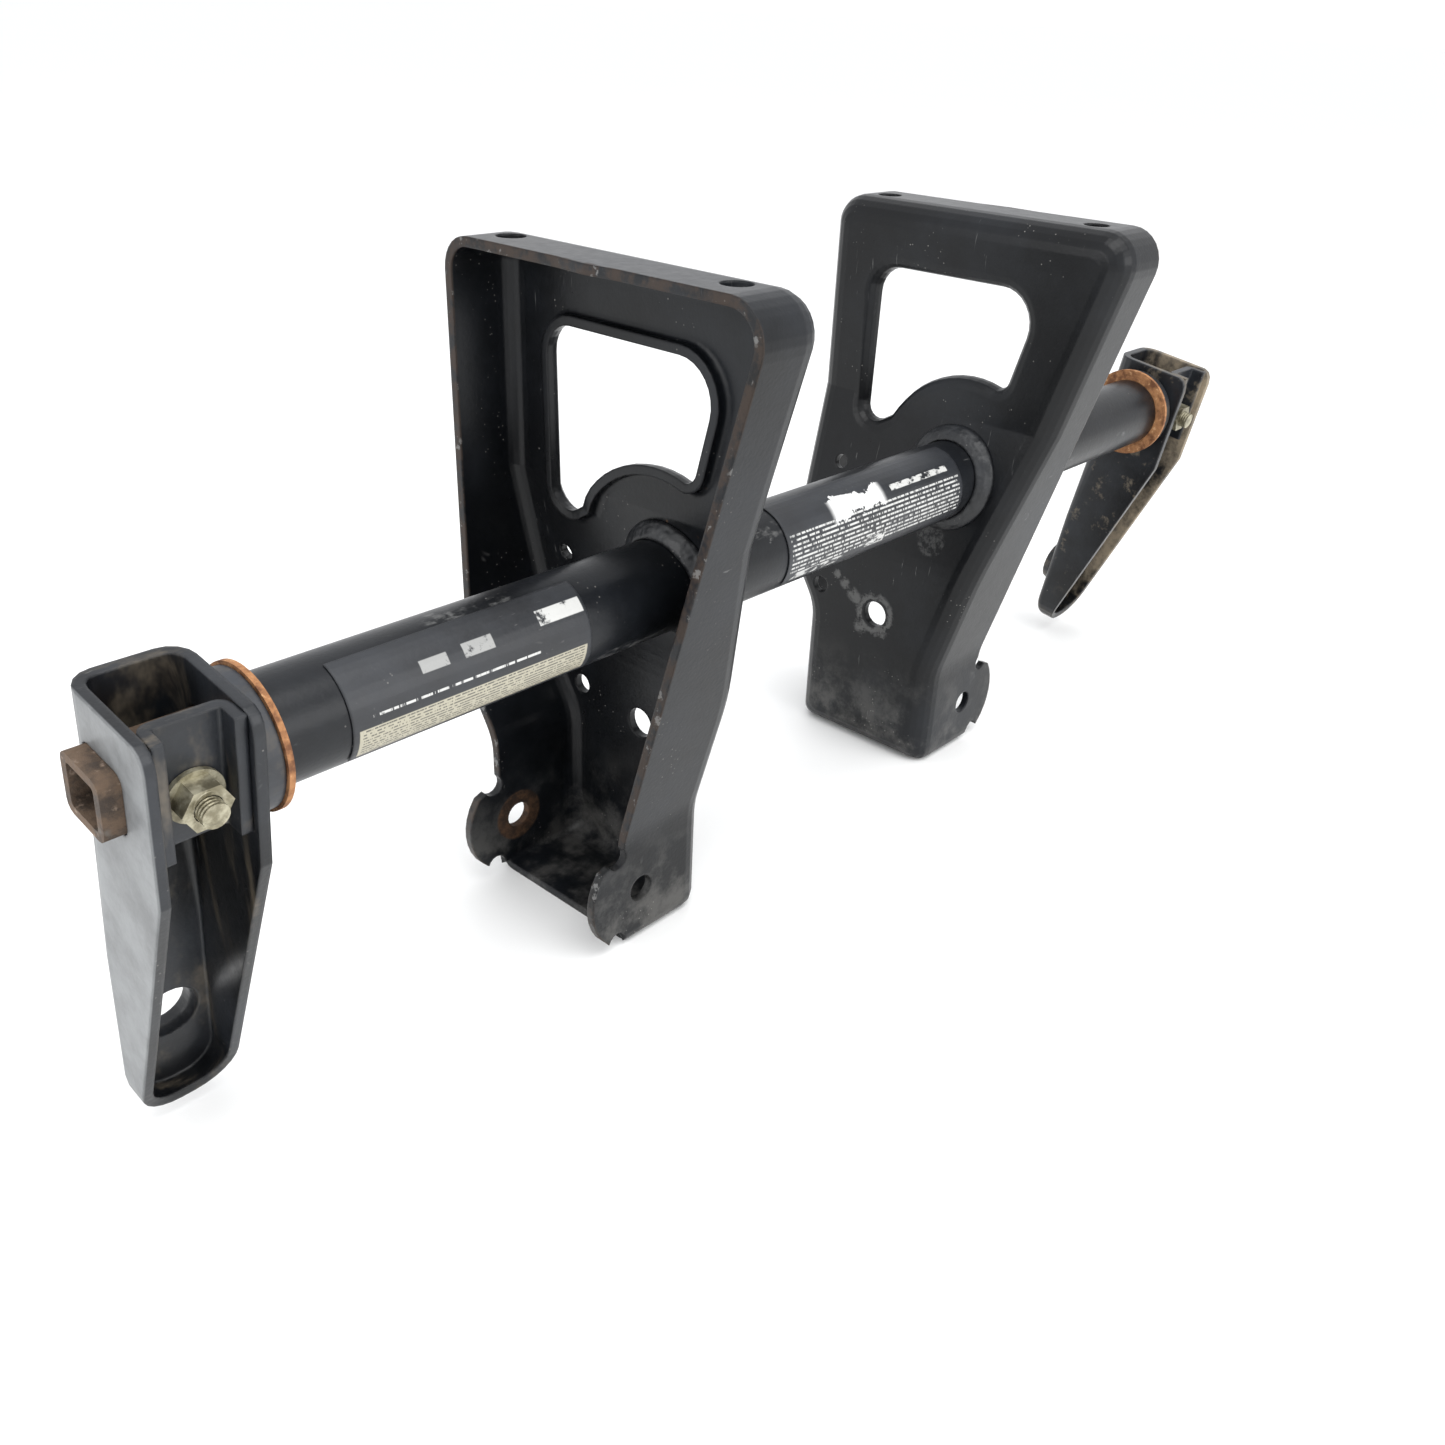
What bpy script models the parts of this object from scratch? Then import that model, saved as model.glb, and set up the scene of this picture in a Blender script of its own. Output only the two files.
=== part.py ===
"""Torsion bar stabiliser of a small off-road vehicle, as one removable assembly.

A round pivot tube is welded through two pressed steel brackets.  A square torsion bar turns inside
the tube on two flanged bushings, and a pressed arm is bolted to each end of the bar.

Frame: X runs along the pivot tube, Y towards the back, Z up.  The origin lies under the middle of
the assembly, on the surface that the two brackets stand on.  All sizes are in metres.
"""

import math

import bmesh
import bpy
from mathutils import Matrix, Vector

# ---------------------------------------------------------------- driving dimensions
GAP = 0.0003                        # room between touching pieces
MERGE = 0.00005                     # weld distance of every merging step
SIDES = {"left": -1, "right": 1}

# pivot tube and torsion bar
AXIS_Y = -0.0094
AXIS_Z = 0.1485
TUBE_RADIUS = 0.01745
TUBE_WALL = 0.0024
TUBE_HALF = 0.2645
BAR_SIZE = 0.0206
BAR_CORNER = 0.0035
BAR_WALL = 0.003
BAR_HALF = 0.313
ROUND_STEPS = 56

# washers and flanged bushings at the tube's ends
WASHER_RADIUS = 0.0228
WASHER_THICKNESS = 0.0019
WASHER_BORE = 0.0151
COLLAR_RADIUS = 0.0217
COLLAR_THICKNESS = 0.0064
BUSHING_DEPTH = 0.036

# pressed brackets
SHEET = 0.0035
WEB_LOW = 0.080                     # inboard face of the web below the tube
WEB_HIGH = 0.0955                   # inboard face of the web above the tube
JOG_START = 0.104
JOG_END = 0.175
JOG_EASE = 0.010                     # half height of the blend at the foot
RIM = 0.126                         # free edge of the flanges
BOTTOM_RIM = 0.123                  # free edge of the bottom flange
TIGHT_CORNER = 0.0050
BEND = 0.0105                       # outer bend radius between web and flange
TOP_Z = 0.2625
BACK_Y = 0.0746
BACK_LOW_Y = 0.0606
FRONT_TOP = (-0.0746, 0.246)
FRONT_KNEE = (-0.0184, 0.0500)
FRONT_LOW_Y = -0.0184
TUBE_HOLE_RADIUS = 0.0190
WELD_LEG = 0.0060
WELD_SECTION = ((1.0, 0.0), (0.92, 0.25), (0.58, 0.62), (0.22, 0.90), (0.0, 1.0), (0.0, 0.0))

# ears at the lower corners of a bracket
EAR_X = 0.1165
EAR_Z = 0.0245
EAR_RADIUS = 0.026
EAR_HOLE_RADIUS = 0.00575
NOTCH_RADIUS = 0.0046
NOTCH_X = 0.1293
NOTCH_RISE = 0.0195                 # above the ear's centre
NOTCH_DROP = 0.0205                 # below it

# holes and window of a bracket
TOP_HOLE_X = 0.1120
TOP_HOLES_Y = (0.0545, -0.0511)
TOP_HOLE_RADIUS = 0.0055
WEB_HOLES = ((0.0167, 0.0736, 0.0065), (0.0518, 0.0788, 0.0043), (0.0515, 0.1418, 0.0034))
HUMP_RADIUS = 0.0445                # rounded sill of the window, about the tube
LIP_DEPTH = 0.0075
LIP_BEND = 0.005

# arms, in their own directions: W down the arm, V towards the back, both from the bar's axis
ARM_TILT = math.radians(9.0)
ARM_OUTER = 0.307
ARM_INNER = 0.2735
ARM_BACK = 0.0185
ARM_FRONT = -0.0235
ARM_TOP = -0.025
ARM_SHOULDER = 0.027
ARM_TOE = 0.1440
ARM_TOE_FRONT = 0.0080
ARM_BEND_TOP = 0.0080
ARM_BEND_TOE = 0.0039
ARM_TOE_CORNER = 0.0145
LINK_W = 0.1105
LINK_HOLE = 0.0088
DIMPLE_RADIUS = 0.0127
DIMPLE_TOP_RADIUS = 0.0113
DIMPLE_DEPTH = 0.0048
ARM_MIDDLE = (ARM_OUTER + ARM_INNER) / 2

# saddle, clamp bolt and nut of an arm
SADDLE_TOP = -0.0245
SADDLE_BOTTOM = 0.0150
SADDLE_SHEET = 0.0035
SADDLE_LEG = 0.0105
SADDLE_BEND = 0.0042
BOLT_RADIUS = 0.004
BOLT_HOLE = 0.0043
HEX_ACROSS = 0.013
FLANGE_RADIUS = 0.0085
FLANGE_HEIGHT = 0.0016
NUT_HEIGHT = 0.0080
HEAD_HEIGHT = 0.0085
BOLT_END_V = -0.0262

MATERIALS = {
    "black_paint": ((0.018, 0.020, 0.022, 1), 0.42, 0.0),
    "arm_paint": ((0.022, 0.023, 0.024, 1), 0.50, 0.0),
    "weld_paint": ((0.016, 0.017, 0.018, 1), 0.55, 0.0),
    "bar_steel": ((0.16, 0.085, 0.045, 1), 0.75, 0.6),
    "bushing_plastic": ((0.030, 0.030, 0.031, 1), 0.50, 0.0),
    "rusted_steel": ((0.36, 0.15, 0.05, 1), 0.80, 0.4),
    "zinc": ((0.42, 0.39, 0.31, 1), 0.50, 0.9),
    "label_film": ((0.030, 0.031, 0.033, 1), 0.40, 0.0),
}


# ---------------------------------------------------------------- scene helpers
def clear_scene():
    for ob in list(bpy.data.objects):
        bpy.data.objects.remove(ob, do_unlink=True)


def new_collection(name):
    group = bpy.data.collections.new(name)
    bpy.context.scene.collection.children.link(group)
    return group


def material(name):
    if name in bpy.data.materials:
        return bpy.data.materials[name]
    color, roughness, metallic = MATERIALS[name]
    mat = bpy.data.materials.new(name)
    mat.use_nodes = True
    shader = mat.node_tree.nodes["Principled BSDF"]
    shader.inputs["Base Color"].default_value = color
    shader.inputs["Roughness"].default_value = roughness
    shader.inputs["Metallic"].default_value = metallic
    return mat


def add_part(name, mesh, mat_name, location=(0, 0, 0), parent=None):
    ob = bpy.data.objects.new(name, mesh)
    ob.location = location
    ob.parent = parent
    PARTS.objects.link(ob)
    mesh.materials.clear()
    mesh.materials.append(material(mat_name))
    mesh.shade_smooth()
    mesh.set_sharp_from_angle(angle=math.radians(35))
    return ob


def add_pivot(name, location, tilt=0.0, parent=None):
    pivot = bpy.data.objects.new(name, None)
    pivot.location = location
    pivot.rotation_euler = (tilt, 0, 0)
    pivot.parent = parent
    PARTS.objects.link(pivot)
    return pivot


def mesh_from_bmesh(bm, name):
    bmesh.ops.remove_doubles(bm, verts=bm.verts, dist=MERGE)
    mesh = bpy.data.meshes.new(name)
    bm.to_mesh(mesh)
    bm.free()
    return mesh


def add_solidify(ob, thickness, offset=-1.0):
    mod = ob.modifiers.new("Sheet", "SOLIDIFY")
    mod.thickness = thickness
    mod.offset = offset
    mod.use_even_offset = True
    mod.use_quality_normals = True
    return mod


def add_cut(ob, cutter):
    mod = ob.modifiers.new("Cut_" + cutter.name, "BOOLEAN")
    mod.operation = "DIFFERENCE"
    mod.solver = "EXACT"
    mod.object = cutter
    return mod


def add_cutter(name, mesh, parent=None):
    ob = bpy.data.objects.new(name, mesh)
    ob.parent = parent
    ob.hide_render = True
    ob.display_type = "WIRE"
    CUTTERS.objects.link(ob)
    return ob


# ---------------------------------------------------------------- shape helpers
def arc(center, radius, start, end, steps):
    """Points on an arc from start to end degrees."""
    points = []
    for i in range(steps + 1):
        angle = math.radians(start + (end - start) * i / steps)
        points.append((center[0] + radius * math.cos(angle), center[1] + radius * math.sin(angle)))
    return points


def rounded_square(size, corner, steps=3):
    half = size / 2 - corner
    points = []
    for i, (sx, sy) in enumerate(((1, 1), (-1, 1), (-1, -1), (1, -1))):
        points += arc((sx * half, sy * half), corner, 90 * i, 90 * i + 90, steps)
    return points


def fillet(previous, corner, following, radius, steps):
    """Round one corner of an outline."""
    a = (Vector(previous) - Vector(corner)).normalized()
    b = (Vector(following) - Vector(corner)).normalized()
    half = a.angle(b) / 2
    reach = radius / math.tan(half)
    center = Vector(corner) + (a + b).normalized() * radius / math.sin(half)
    start = Vector(corner) + a * reach - center
    end = Vector(corner) + b * reach - center
    turn = start.angle_signed(end)
    points = []
    for i in range(steps + 1):
        angle = -turn * i / steps
        x = start.x * math.cos(angle) - start.y * math.sin(angle)
        y = start.x * math.sin(angle) + start.y * math.cos(angle)
        points.append((center.x + x, center.y + y))
    return points


def rounded_outline(corners):
    """Closed outline from (point, radius, steps) corners."""
    points = []
    count = len(corners)
    for i, (corner, radius, steps) in enumerate(corners):
        if radius == 0:
            points.append(corner)
            continue
        points += fillet(corners[i - 1][0], corner, corners[(i + 1) % count][0], radius, steps)
    return points


def edge_normals(points, closed):
    """Unit normals that point to the left of the walking direction."""
    normals = []
    count = len(points)
    for i in range(count):
        before = points[i - 1] if closed or i > 0 else points[i]
        after = points[(i + 1) % count] if closed or i < count - 1 else points[i]
        tangent = (Vector(after) - Vector(before)).normalized()
        normals.append(Vector((-tangent.y, tangent.x)))
    return normals


def prism(outlines, thickness, name):
    """Flat outlines (the first solid, the others holes) as a plate about Z = 0."""
    curve = bpy.data.curves.new(name, "CURVE")
    curve.dimensions = "2D"
    curve.fill_mode = "BOTH"
    curve.extrude = thickness / 2
    for outline in outlines:
        spline = curve.splines.new("POLY")
        spline.points.add(len(outline) - 1)
        for point, (x, y) in zip(spline.points, outline):
            point.co = (x, y, 0, 1)
        spline.use_cyclic_u = True
    holder = bpy.data.objects.new(name, curve)
    bpy.context.scene.collection.objects.link(holder)
    graph = bpy.context.evaluated_depsgraph_get()
    mesh = bpy.data.meshes.new_from_object(holder.evaluated_get(graph))
    bpy.data.objects.remove(holder, do_unlink=True)
    bm = bmesh.new()
    bm.from_mesh(mesh)
    bmesh.ops.remove_doubles(bm, verts=bm.verts, dist=MERGE)
    bmesh.ops.recalc_face_normals(bm, faces=bm.faces)
    bm.to_mesh(mesh)
    bm.free()
    return mesh


def cylinder(radius, length, steps, matrix, name):
    bm = bmesh.new()
    bmesh.ops.create_cone(
        bm, cap_ends=True, segments=steps, radius1=radius, radius2=radius, depth=length,
        matrix=matrix)
    return mesh_from_bmesh(bm, name)


def along(axis):
    """Rotation that lays a Z-directed shape along X or Y."""
    if axis == "X":
        return Matrix.Rotation(math.radians(90), 4, "Y")
    if axis == "Y":
        return Matrix.Rotation(math.radians(90), 4, "X")
    return Matrix.Identity(4)


def turned(name, profile, mat_name, location, parent=None):
    """Ring or sleeve about X from a closed (radius, along) profile, outer side first."""
    mesh = bpy.data.meshes.new(name)
    count = len(profile)
    edges = [(i, (i + 1) % count) for i in range(count)]
    mesh.from_pydata([(radius, 0, height) for radius, height in profile], edges, [])
    ob = add_part(name, mesh, mat_name, location, parent)
    ob.rotation_euler = (0, math.radians(90), 0)
    mod = ob.modifiers.new("Turn", "SCREW")
    mod.axis = "Z"
    mod.steps = ROUND_STEPS
    mod.render_steps = ROUND_STEPS
    mod.use_merge_vertices = True
    mod.merge_threshold = MERGE
    mod.use_smooth_shade = True
    return ob


# ---------------------------------------------------------------- pressed brackets
def jog(height):
    """How far outboard the web has stepped at this height; the foot of the step is eased."""
    slope = (WEB_HIGH - WEB_LOW) / (JOG_END - JOG_START)
    beyond = min(height, JOG_END) - JOG_START
    if beyond > JOG_EASE:
        return slope * beyond
    return slope * max(0.0, beyond + JOG_EASE) ** 2 / (4 * JOG_EASE)


def jog_levels():
    foot = JOG_START - JOG_EASE
    return [foot + JOG_EASE * i / 2 for i in range(5)] + [JOG_END]


def bracket_corners():
    """Corners of the flanges' outer line seen along the tube, walked anticlockwise."""
    slope = (FRONT_TOP[0] - FRONT_KNEE[0]) / (FRONT_TOP[1] - FRONT_KNEE[1])
    front_corner = (FRONT_TOP[0] + slope * (TOP_Z - FRONT_TOP[1]), TOP_Z)
    return (
        ((FRONT_LOW_Y, 0.0), 0.0055, 4),
        ((BACK_LOW_Y, 0.0), 0.0055, 4),
        ((BACK_LOW_Y, 0.0640), 0.022, 5),
        ((BACK_Y, 0.0860), 0.022, 5),
        ((BACK_Y, TOP_Z), 0.0125, 7),
        (front_corner, 0.0140, 8),
        (FRONT_KNEE, 0.040, 5))


def inset(corners, distance):
    """Corners moved inward; outer corners tighten, inner corners widen."""
    moved = []
    count = len(corners)
    for i, (corner, radius, steps) in enumerate(corners):
        ahead = (Vector(corners[(i + 1) % count][0]) - Vector(corner)).normalized()
        behind = (Vector(corner) - Vector(corners[i - 1][0])).normalized()
        left = Vector((-behind.y, behind.x)) + Vector((-ahead.y, ahead.x))
        shift = left * (2 * distance / left.length_squared)
        convex = behind.cross(ahead) > 0
        new_radius = max(radius - distance, TIGHT_CORNER) if convex else radius + distance
        moved.append(((corner[0] + shift.x, corner[1] + shift.y), new_radius, steps))
    return moved


def extra_points(outline):
    """How many pieces each stretch of the outline is cut into."""
    counts = []
    for a, b in zip(outline, outline[1:] + outline[:1]):
        length = (Vector(b) - Vector(a)).length
        near_ear = max(a[1], b[1]) < 0.0640 and abs(a[0] - b[0]) < 0.002
        on_top = min(a[1], b[1]) > TOP_Z - 0.0005
        step = 0.0042 if near_ear else 0.0150 if on_top else 1.0
        counts.append(max(1, round(length / step)))
    return counts


def divided(outline, counts):
    points = []
    for a, b, count in zip(outline, outline[1:] + outline[:1], counts):
        for k in range(count):
            t = k / count
            points.append((a[0] + (b[0] - a[0]) * t, a[1] + (b[1] - a[1]) * t))
    return points


def rim_reach(y, z):
    """Outboard reach of the free edge: ears on the lower flanges, a shorter bottom flange."""
    upright = min(abs(y - FRONT_LOW_Y), abs(y - BACK_LOW_Y)) < 0.0012
    if upright and abs(z - EAR_Z) < EAR_RADIUS and 0.003 < z < EAR_Z + NOTCH_RISE:
        return max(RIM, EAR_X + math.sqrt(EAR_RADIUS ** 2 - (z - EAR_Z) ** 2))
    if z < 0.003:
        return BOTTOM_RIM
    if z > TOP_Z - 0.001 and 0.000 < y < 0.016:
        return RIM + 0.0015
    return RIM


def window_outline():
    """Window of the web; its sill is an arc about the tube."""
    hump = arc((AXIS_Y, AXIS_Z), HUMP_RADIUS, 108, 26, 12)
    frame = (
        ((0.0472, 0.1580), 0.0075, 7),
        ((0.0472, 0.2340), 0.0120, 6),
        ((-0.0385, 0.2340), 0.0150, 8),
        ((-0.0275, 0.1915), 0.0060, 5))
    corners = [(hump[0], 0, 0)]
    corners += [(point, 0, 0) for point in hump[1:]]
    corners += list(frame)
    return rounded_outline(corners)


def circle(center, radius, steps):
    return arc(center, radius, 0, 360 - 360 / steps, steps - 1)


def add_loop(bm, ring):
    verts = [bm.verts.new(co) for co in ring]
    edges = [bm.edges.new((verts[i - 1], verts[i])) for i in range(len(verts))]
    return verts, edges


def skin(bm, rows, closed=True):
    """Quads between rows of vertices."""
    for lower, upper in zip(rows, rows[1:]):
        count = len(lower)
        for i in range(0 if closed else 1, count):
            bm.faces.new((lower[i - 1], lower[i], upper[i], upper[i - 1]))


def bend_rows(start, radius, steps):
    """Offsets (inward, towards the web) round a bend whose flange side begins at start."""
    rows = []
    for i in range(steps + 1):
        angle = math.radians(90 * i / steps)
        rows.append((radius * (1 - math.cos(angle)), start - radius * math.sin(angle)))
    return rows


def bracket_surface():
    """Outer skin of the right bracket: flanges, bends, web and the lip of the window."""
    bm = bmesh.new()
    bm.verts.layers.int.new("lip")
    corners = bracket_corners()
    outline = rounded_outline(corners)
    counts = extra_points(outline)
    rows = [[bm.verts.new((rim_reach(y, z), y, z)) for y, z in divided(outline, counts)]]
    for inward, depth in bend_rows(WEB_LOW + BEND, BEND, 5):
        ring = divided(rounded_outline(inset(corners, inward)), counts)
        rows.append([bm.verts.new((depth, y, z)) for y, z in ring])
    skin(bm, rows)
    web_edges = [bm.edges.get((rows[-1][i - 1], rows[-1][i])) for i in range(len(rows[-1]))]
    window = window_outline()
    inner_normals = edge_normals(window, True)
    loops = [[(WEB_LOW, y - n.x * LIP_BEND, z - n.y * LIP_BEND)
              for (y, z), n in zip(window, inner_normals)]]
    loops.append([(WEB_LOW, y, z) for y, z in circle((AXIS_Y, AXIS_Z), TUBE_HOLE_RADIUS, 28)])
    for y, z, radius in WEB_HOLES:
        loops.append([(WEB_LOW, a, b) for a, b in circle((y, z), radius, 24)])
    lip_start = None
    for loop in loops:
        verts, edges = add_loop(bm, loop)
        web_edges += edges
        lip_start = lip_start or verts
    bmesh.ops.triangle_fill(bm, use_beauty=True, use_dissolve=False, edges=web_edges)
    add_lip(bm, lip_start, window, inner_normals)
    return bm


def add_lip(bm, start, window, normals):
    """Roll the edge of the window into the pan."""
    rows = [start]
    mark = bm.verts.layers.int["lip"]
    for i in range(1, 4):
        angle = math.radians(90 * i / 3)
        inward = LIP_BEND * (1 - math.sin(angle))
        depth = WEB_LOW + LIP_BEND * (1 - math.cos(angle))
        rows.append([bm.verts.new((depth, y - n.x * inward, z - n.y * inward))
                     for (y, z), n in zip(window, normals)])
    rows.append([bm.verts.new((WEB_LOW + LIP_DEPTH, y, z)) for y, z in window])
    for row in rows[1:]:
        for vert in row:
            vert[mark] = 1
    skin(bm, rows)


def shear_web(bm):
    """Move the web, its bends and the lip outboard above the jog."""
    bmesh.ops.recalc_face_normals(bm, faces=bm.faces)
    mark = bm.verts.layers.int["lip"]
    for height in jog_levels():
        faces = [f for f in bm.faces if not any(v[mark] for v in f.verts)]
        edges = {e for f in faces for e in f.edges}
        verts = {v for e in edges for v in e.verts}
        bmesh.ops.bisect_plane(
            bm, geom=list(verts) + list(edges) + faces, dist=1e-6,
            plane_co=(0, 0, height), plane_no=(0, 0, 1))
    for vert in bm.verts:
        if vert.co.x < WEB_LOW + BEND + 0.001:
            vert.co.x += jog(vert.co.z)


def bracket_mesh(side):
    bm = bracket_surface()
    shear_web(bm)
    if side < 0:
        for vert in bm.verts:
            vert.co.x = -vert.co.x
    bmesh.ops.recalc_face_normals(bm, faces=bm.faces)
    bm.faces.ensure_lookup_table()
    lowest = min(bm.faces, key=lambda f: f.calc_center_median().z)
    if lowest.normal.z > 0:
        bmesh.ops.reverse_faces(bm, faces=bm.faces)
    return mesh_from_bmesh(bm, "bracket")


def bracket_cutter(name, side, kind):
    """One cutter mesh that holds every hole of one kind."""
    bm = bmesh.new()
    if kind == "top":
        for y in TOP_HOLES_Y:
            place = Matrix.Translation((side * TOP_HOLE_X, y, TOP_Z))
            bmesh.ops.create_cone(bm, cap_ends=True, segments=20, radius1=TOP_HOLE_RADIUS,
                                  radius2=TOP_HOLE_RADIUS, depth=0.012, matrix=place)
    for y in (FRONT_LOW_Y, BACK_LOW_Y) if kind == "ears" else ():
        spots = ((EAR_X, EAR_Z, EAR_HOLE_RADIUS, 20),
                 (NOTCH_X, EAR_Z + NOTCH_RISE, NOTCH_RADIUS, 14),
                 (NOTCH_X, EAR_Z - NOTCH_DROP, NOTCH_RADIUS, 14))
        for x, z, radius, steps in spots:
            place = Matrix.Translation((side * x, y, z)) @ along("Y")
            bmesh.ops.create_cone(bm, cap_ends=True, segments=steps, radius1=radius,
                                  radius2=radius, depth=0.012, matrix=place)
    return add_cutter(name, mesh_from_bmesh(bm, name))


def build_bracket(label):
    side = SIDES[label]
    ob = add_part(label + "_bracket", bracket_mesh(side), "black_paint")
    add_solidify(ob, SHEET)
    for kind in ("top", "ears"):
        add_cut(ob, bracket_cutter(f"{label}_{kind}_holes", side, kind))
    return ob


def build_welds(label):
    """Fillet welds round the tube on both faces of the sloping web."""
    side = SIDES[label]
    slope = (WEB_HIGH - WEB_LOW) / (JOG_END - JOG_START)
    stretch = math.sqrt(1 + slope * slope)
    face = WEB_LOW + jog(AXIS_Z)
    bore = TUBE_RADIUS + GAP
    for spot, direction in (("inboard", -1), ("outboard", 1)):
        sheet = SHEET if direction > 0 else 0.0
        start = face + (sheet + direction * GAP) * stretch
        crown = [(bore + radial * WELD_LEG, start + direction * along_x * WELD_LEG)
                 for radial, along_x in WELD_SECTION]
        bm = bmesh.new()
        rows = []
        for radius, x in crown:
            ring = circle((0, 0), radius, ROUND_STEPS)
            rows.append([bm.verts.new((side * (x + slope * z), y, z)) for y, z in ring])
        skin(bm, rows + [rows[0]])
        bmesh.ops.recalc_face_normals(bm, faces=bm.faces)
        mesh = mesh_from_bmesh(bm, "weld")
        add_part(f"{label}_weld_{spot}", mesh, "weld_paint", (0, AXIS_Y, AXIS_Z))


# ---------------------------------------------------------------- tube, bar and end pieces
def build_tube():
    inner = TUBE_RADIUS - TUBE_WALL
    profile = [(TUBE_RADIUS, TUBE_HALF), (TUBE_RADIUS, -TUBE_HALF),
               (inner, -TUBE_HALF), (inner, TUBE_HALF)]
    return turned("pivot_tube", profile, "black_paint", (0, AXIS_Y, AXIS_Z))


def build_bar(pivot):
    outer = rounded_square(BAR_SIZE, BAR_CORNER)
    inner = rounded_square(BAR_SIZE - 2 * BAR_WALL, 0.0012, 2)
    mesh = prism((outer, inner), 2 * BAR_HALF, "torsion_bar")
    mesh.transform(along("X"))
    bar = add_part("torsion_bar", mesh, "bar_steel", parent=pivot)
    bm = bmesh.new()
    for side in (-1, 1):
        place = Matrix.Translation((side * ARM_MIDDLE, 0, 0)) @ along("Y")
        bmesh.ops.create_cone(bm, cap_ends=True, segments=16, radius1=BOLT_HOLE,
                              radius2=BOLT_HOLE, depth=0.03, matrix=place)
    add_cut(bar, add_cutter("bar_cross_holes", mesh_from_bmesh(bm, "bar_cross_holes"), pivot))
    return bar


def build_washer(label):
    side = SIDES[label]
    half = WASHER_THICKNESS / 2
    profile = [(WASHER_RADIUS, half), (WASHER_RADIUS, -half), (WASHER_BORE, -half),
               (WASHER_BORE, half)]
    x = side * (TUBE_HALF + GAP + half)
    return turned(label + "_washer", profile, "rusted_steel", (x, AXIS_Y, AXIS_Z))


def build_bushing(label, pivot):
    """Flanged bushing: round outside, square inside."""
    side = SIDES[label]
    start = TUBE_HALF + WASHER_THICKNESS + 2 * GAP
    end = start + COLLAR_THICKNESS
    neck = TUBE_RADIUS - TUBE_WALL - GAP
    root = TUBE_HALF - BUSHING_DEPTH
    chamfer = 0.0006
    profile = [(COLLAR_RADIUS - chamfer, end), (COLLAR_RADIUS, end - chamfer),
               (COLLAR_RADIUS, start), (neck, start), (neck, root), (0.0102, root), (0.0102, end)]
    if side < 0:
        profile = [(radius, -x) for radius, x in reversed(profile)]
    ob = turned(label + "_bushing", profile, "bushing_plastic", (0, 0, 0), pivot)
    bore = prism((rounded_square(BAR_SIZE + 2 * GAP, BAR_CORNER + GAP),), 0.1, "bore")
    bore.transform(Matrix.Translation((side * TUBE_HALF, 0, 0)) @ along("X"))
    add_cut(ob, add_cutter(label + "_bushing_bore", bore, pivot))
    return ob


def build_label(name, start, end, from_deg, to_deg):
    """Film stuck on the tube; angles run from the top towards the front."""
    bm = bmesh.new()
    radius = TUBE_RADIUS + GAP
    rows = []
    steps = round(abs(to_deg - from_deg) / 9)
    for i in range(steps + 1):
        angle = math.radians(from_deg + (to_deg - from_deg) * i / steps)
        y = AXIS_Y - radius * math.sin(angle)
        z = AXIS_Z + radius * math.cos(angle)
        rows.append([bm.verts.new((start, y, z)), bm.verts.new((end, y, z))])
    skin(bm, rows, closed=False)
    bm.normal_update()
    bm.faces.ensure_lookup_table()
    face = bm.faces[0]
    center = face.calc_center_median()
    if face.normal.dot(Vector((0, center.y - AXIS_Y, center.z - AXIS_Z))) < 0:
        bmesh.ops.reverse_faces(bm, faces=bm.faces)
    ob = add_part(name, mesh_from_bmesh(bm, name), "label_film")
    add_solidify(ob, 0.00022, offset=1.0)
    return ob


# ---------------------------------------------------------------- arms
def arm_edge(w):
    """V of the free edge of an arm's flange, W down the arm."""
    if w < ARM_TOP + 0.007:
        t = (ARM_TOP + 0.007 - w) / 0.007
        return ARM_FRONT + 0.0050 * (1 - math.sqrt(max(0.0, 1 - t * t)))
    if w < ARM_SHOULDER:
        return ARM_FRONT
    t = (w - ARM_SHOULDER) / (ARM_TOE - ARM_SHOULDER)
    return ARM_FRONT + (ARM_TOE_FRONT - ARM_FRONT) * t


def arm_bend(w):
    """Outer bend radius between an arm's web and its flange, W down the arm."""
    t = min(1.0, max(0.0, (w - ARM_SHOULDER) / 0.045))
    return ARM_BEND_TOP + (ARM_BEND_TOE - ARM_BEND_TOP) * t


def arm_path(side):
    """Open outline of the web in (X, W): down one flange, round the toe, up the other."""
    outer = side * ARM_OUTER
    inner = side * ARM_INNER
    corner = ARM_TOE_CORNER
    levels = [ARM_TOP, ARM_TOP + 0.0012, ARM_TOP + 0.0035, ARM_TOP + 0.007, ARM_SHOULDER,
              0.075, 0.105]
    down = [(outer, w) for w in levels]
    up = [(inner, w) for w in reversed(levels)]
    toe = [(outer - side * corner * (1 - math.cos(math.radians(a))),
            ARM_TOE - corner * (1 - math.sin(math.radians(a)))) for a in range(0, 91, 15)]
    toe += [(inner + side * corner * (1 - math.cos(math.radians(a))),
             ARM_TOE - corner * (1 - math.sin(math.radians(a)))) for a in range(90, -1, -15)]
    return down + toe + up


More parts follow.
